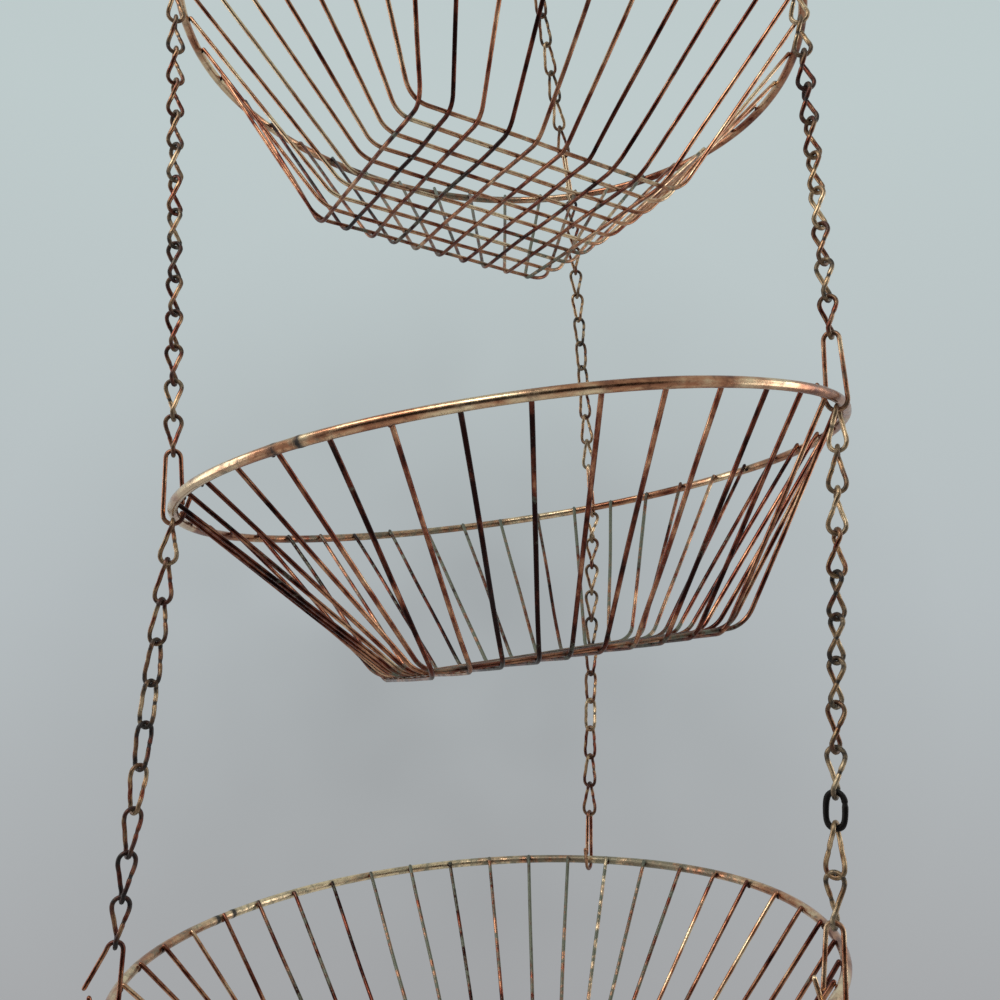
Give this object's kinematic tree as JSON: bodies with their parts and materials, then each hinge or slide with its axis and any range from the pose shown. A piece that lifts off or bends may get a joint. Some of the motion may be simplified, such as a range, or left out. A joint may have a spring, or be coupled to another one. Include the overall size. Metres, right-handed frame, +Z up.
{
  "type": "hanging fruit basket",
  "caption": "Tiered hanging basket of copper-coloured wire: shallow round baskets with square-gridded bases, hung one below another on chains from a ring and S-hook.",
  "frame": {"origin": "the hook's seat: the inside of the top of the S-hook's upper bend, where it bears on the ceiling hook", "axes": "+Z up against gravity, +Y away from the viewer (towards the rear chain), +X to the viewer's right"},
  "size_m": [0.2739, 0.2636, 0.6976],
  "materials": {
    "hook_steel": "satin",
    "rim_copper": "satin",
    "wire_copper": "satin",
    "clip_copper": "satin",
    "chain_brass": "satin",
    "black_iron": "satin"
  },
  "bodies": {
    "hook": {"s_hook": "hook_steel"},
    "ring": {"hanging_ring": "rim_copper"},
    "top_tier": {"left_upper_chain": "chain_brass", "right_upper_chain": "chain_brass", "rear_upper_chain": "chain_brass", "top_left_clip": "clip_copper", "top_right_clip": "clip_copper", "top_rear_clip": "clip_copper", "top_rim": "rim_copper", "top_long_wires": "wire_copper", "top_cross_wires": "wire_copper"},
    "left_middle_run": {"left_middle_chain": "chain_brass"},
    "right_middle_run": {"right_middle_chain": "chain_brass"},
    "rear_middle_run": {"rear_middle_chain": "chain_brass"},
    "middle_tier": {"middle_left_clip": "clip_copper", "middle_right_clip": "clip_copper", "middle_rear_clip": "clip_copper", "middle_rim": "rim_copper", "middle_long_wires": "wire_copper", "middle_cross_wires": "wire_copper"},
    "left_lower_run": {"left_lower_chain": "chain_brass"},
    "right_lower_run": {"right_lower_chain": "chain_brass", "repair_link": "black_iron"},
    "rear_lower_run": {"rear_lower_chain": "chain_brass"},
    "bottom_tier": {"bottom_left_clip": "clip_copper", "bottom_right_clip": "clip_copper", "bottom_rear_clip": "clip_copper", "bottom_rim": "rim_copper", "bottom_long_wires": "wire_copper", "bottom_cross_wires": "wire_copper"}
  },
  "joints": [
    {"name": "ring_rocks_on_hook", "type": "hinge", "parent": "hook", "child": "ring", "pos_m": [0, 0, -0.0385], "axis": [1, 0, 0], "range_deg": [-12, 12]},
    {"name": "set_swings_on_ring", "type": "hinge", "parent": "ring", "child": "top_tier", "pos_m": [0, 0, -0.06164], "axis": [0, 1, 0], "range_deg": [-12, 12]},
    {"name": "left_middle_run_swings", "type": "hinge", "parent": "top_tier", "child": "left_middle_run", "pos_m": [-0.12432, -0.03924, -0.2474], "axis": [1, 0, 0], "range_deg": [-5.63, 5.63]},
    {"name": "right_middle_run_swings", "type": "hinge", "parent": "top_tier", "child": "right_middle_run", "pos_m": [0.11246, -0.06615, -0.25783], "axis": [1, 0, 0], "range_deg": [-7.34, 7.34]},
    {"name": "rear_middle_run_swings", "type": "hinge", "parent": "top_tier", "child": "rear_middle_run", "pos_m": [0.04124, 0.12372, -0.25946], "axis": [1, 0, 0], "range_deg": [-7, 7]},
    {"name": "middle_basket_stays_level", "type": "hinge", "parent": "rear_middle_run", "child": "middle_tier", "pos_m": [0.04897, 0.12302, -0.40847], "axis": [1, 0, 0], "range_deg": [-7.01, 7.01]},
    {"name": "left_lower_run_swings", "type": "hinge", "parent": "middle_tier", "child": "left_lower_run", "pos_m": [-0.1144, -0.03803, -0.46185], "axis": [1, 0, 0], "range_deg": [-7.43, 7.43]},
    {"name": "right_lower_run_swings", "type": "hinge", "parent": "middle_tier", "child": "right_lower_run", "pos_m": [0.11835, -0.0679, -0.42826], "axis": [1, 0, 0], "range_deg": [-6.53, 6.53]},
    {"name": "rear_lower_run_swings", "type": "hinge", "parent": "middle_tier", "child": "rear_lower_run", "pos_m": [0.05038, 0.12285, -0.43584], "axis": [1, 0, 0], "range_deg": [-7, 7]},
    {"name": "bottom_basket_stays_level", "type": "hinge", "parent": "rear_lower_run", "child": "bottom_tier", "pos_m": [0.04641, 0.12037, -0.58561], "axis": [1, 0, 0], "range_deg": [-7.01, 7.01]}
  ],
  "couplings": [
    {"joint": "left_middle_run_swings", "follows": "rear_middle_run_swings", "ratio": 0.79659},
    {"joint": "right_middle_run_swings", "follows": "rear_middle_run_swings", "ratio": 1.0417},
    {"joint": "middle_basket_stays_level", "follows": "rear_middle_run_swings", "ratio": -1},
    {"joint": "left_lower_run_swings", "follows": "rear_lower_run_swings", "ratio": 1.0539},
    {"joint": "right_lower_run_swings", "follows": "rear_lower_run_swings", "ratio": 0.9263},
    {"joint": "bottom_basket_stays_level", "follows": "rear_lower_run_swings", "ratio": -1}
  ]
}
